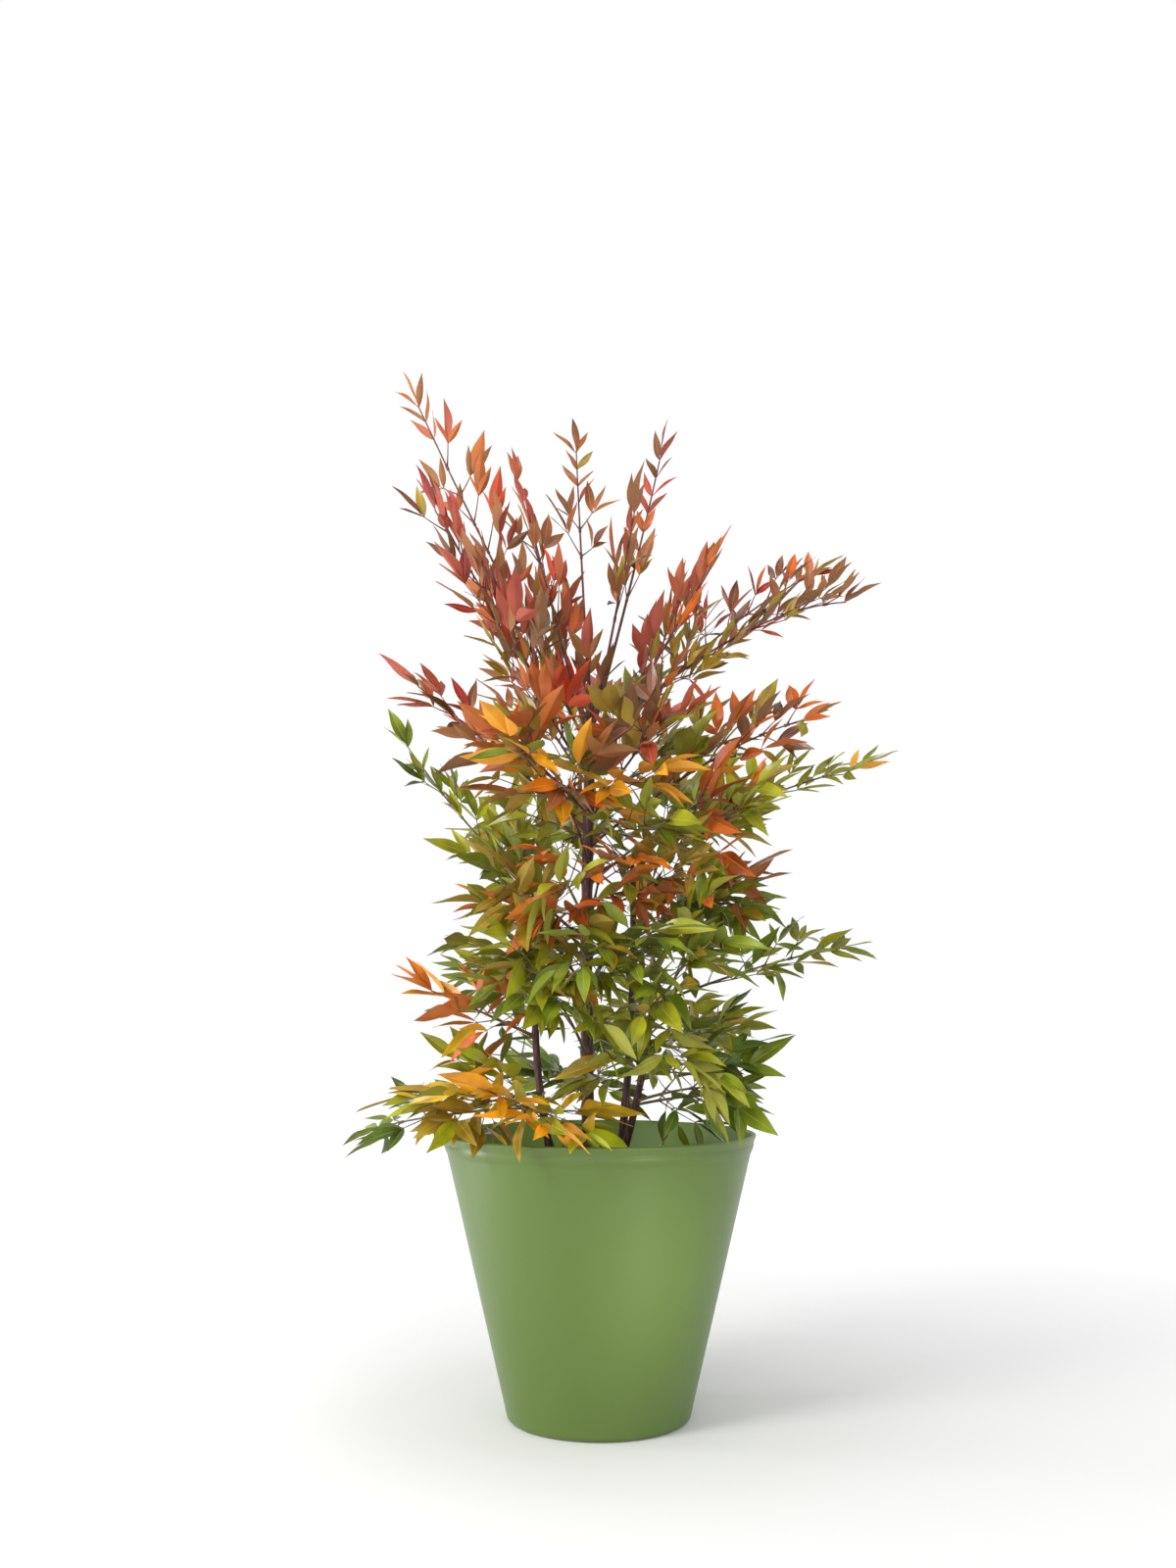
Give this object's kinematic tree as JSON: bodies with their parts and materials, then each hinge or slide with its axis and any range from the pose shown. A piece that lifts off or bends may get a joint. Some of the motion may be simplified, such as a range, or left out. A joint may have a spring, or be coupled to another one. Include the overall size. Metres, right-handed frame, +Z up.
{
  "type": "potted heavenly bamboo shrub",
  "caption": "Heavenly bamboo shrub in autumn colours: slender upright canes with loose, feathery sprays of pointed red, orange and green leaflets, in a tapered green planter.",
  "frame": {"origin": "middle of the planter's flat underside", "axes": "+Z up along the planter's axis, -Y towards the viewer of the picture, +X to the viewer's right"},
  "size_m": [0.6552, 0.5111, 1.1856],
  "materials": {
    "pot": "satin",
    "soil": "rough",
    "bark": "rough",
    "petiole": "satin",
    "leaf_red": "satin",
    "leaf_bronze": "satin",
    "leaf_orange": "satin",
    "leaf_amber": "satin",
    "leaf_green": "satin"
  },
  "bodies": {
    "root": {"bough_left_green": "petiole", "bough_left_red": "petiole", "bough_right_bronze": "petiole", "bough_right_green_far": "petiole", "bough_right_lime": "petiole", "bough_right_long": "petiole", "bough_top_left_high": "petiole", "bough_top_mid_right": "petiole", "cane_fore": "bark", "cane_left": "bark", "cane_main": "bark", "cane_right": "bark", "foliage_back_foot": "leaf_green", "foliage_back_high": "leaf_bronze", "foliage_back_left_high": "leaf_bronze", "foliage_back_low_left": "leaf_green", "foliage_back_low_right": "leaf_green", "foliage_back_mid": "leaf_green", "foliage_back_right": "leaf_green", "foliage_fore_gold": "leaf_amber", "foliage_fore_high": "leaf_orange", "foliage_fore_high_left": "leaf_red", "foliage_fore_high_right": "leaf_bronze", "foliage_fore_left_mid": "leaf_amber", "foliage_fore_low": "leaf_green", "foliage_fore_low_left": "leaf_green", "foliage_fore_mid": "leaf_green", "foliage_fore_right_mid": "leaf_green", "foliage_fore_rust": "leaf_orange", "foliage_left_amber": "leaf_amber", "foliage_left_foot": "leaf_green", "foliage_left_green": "leaf_green", "foliage_left_low": "leaf_green", "foliage_left_mid": "leaf_green", "foliage_left_olive": "leaf_amber", "foliage_left_red": "leaf_red", "foliage_right_bronze": "leaf_bronze", "foliage_right_foot": "leaf_green", "foliage_right_fore_low": "leaf_green", "foliage_right_green_far": "leaf_green", "foliage_right_green_high": "leaf_green", "foliage_right_green_low": "leaf_green", "foliage_right_high": "leaf_bronze", "foliage_right_inner": "leaf_red", "foliage_right_lime": "leaf_amber", "foliage_right_long": "leaf_bronze", "foliage_right_long_back": "leaf_bronze", "foliage_right_orange": "leaf_orange", "foliage_right_rust": "leaf_orange", "foliage_top_fore": "leaf_red", "foliage_top_left_high": "leaf_red", "foliage_top_left_inner": "leaf_red", "foliage_top_left_low": "leaf_red", "foliage_top_left_mid": "leaf_bronze", "foliage_top_mid": "leaf_bronze", "foliage_top_mid_left": "leaf_bronze", "foliage_top_mid_right": "leaf_bronze", "foliage_top_right_fore": "leaf_bronze", "pot": "pot", "soil": "soil"}
  },
  "joints": []
}
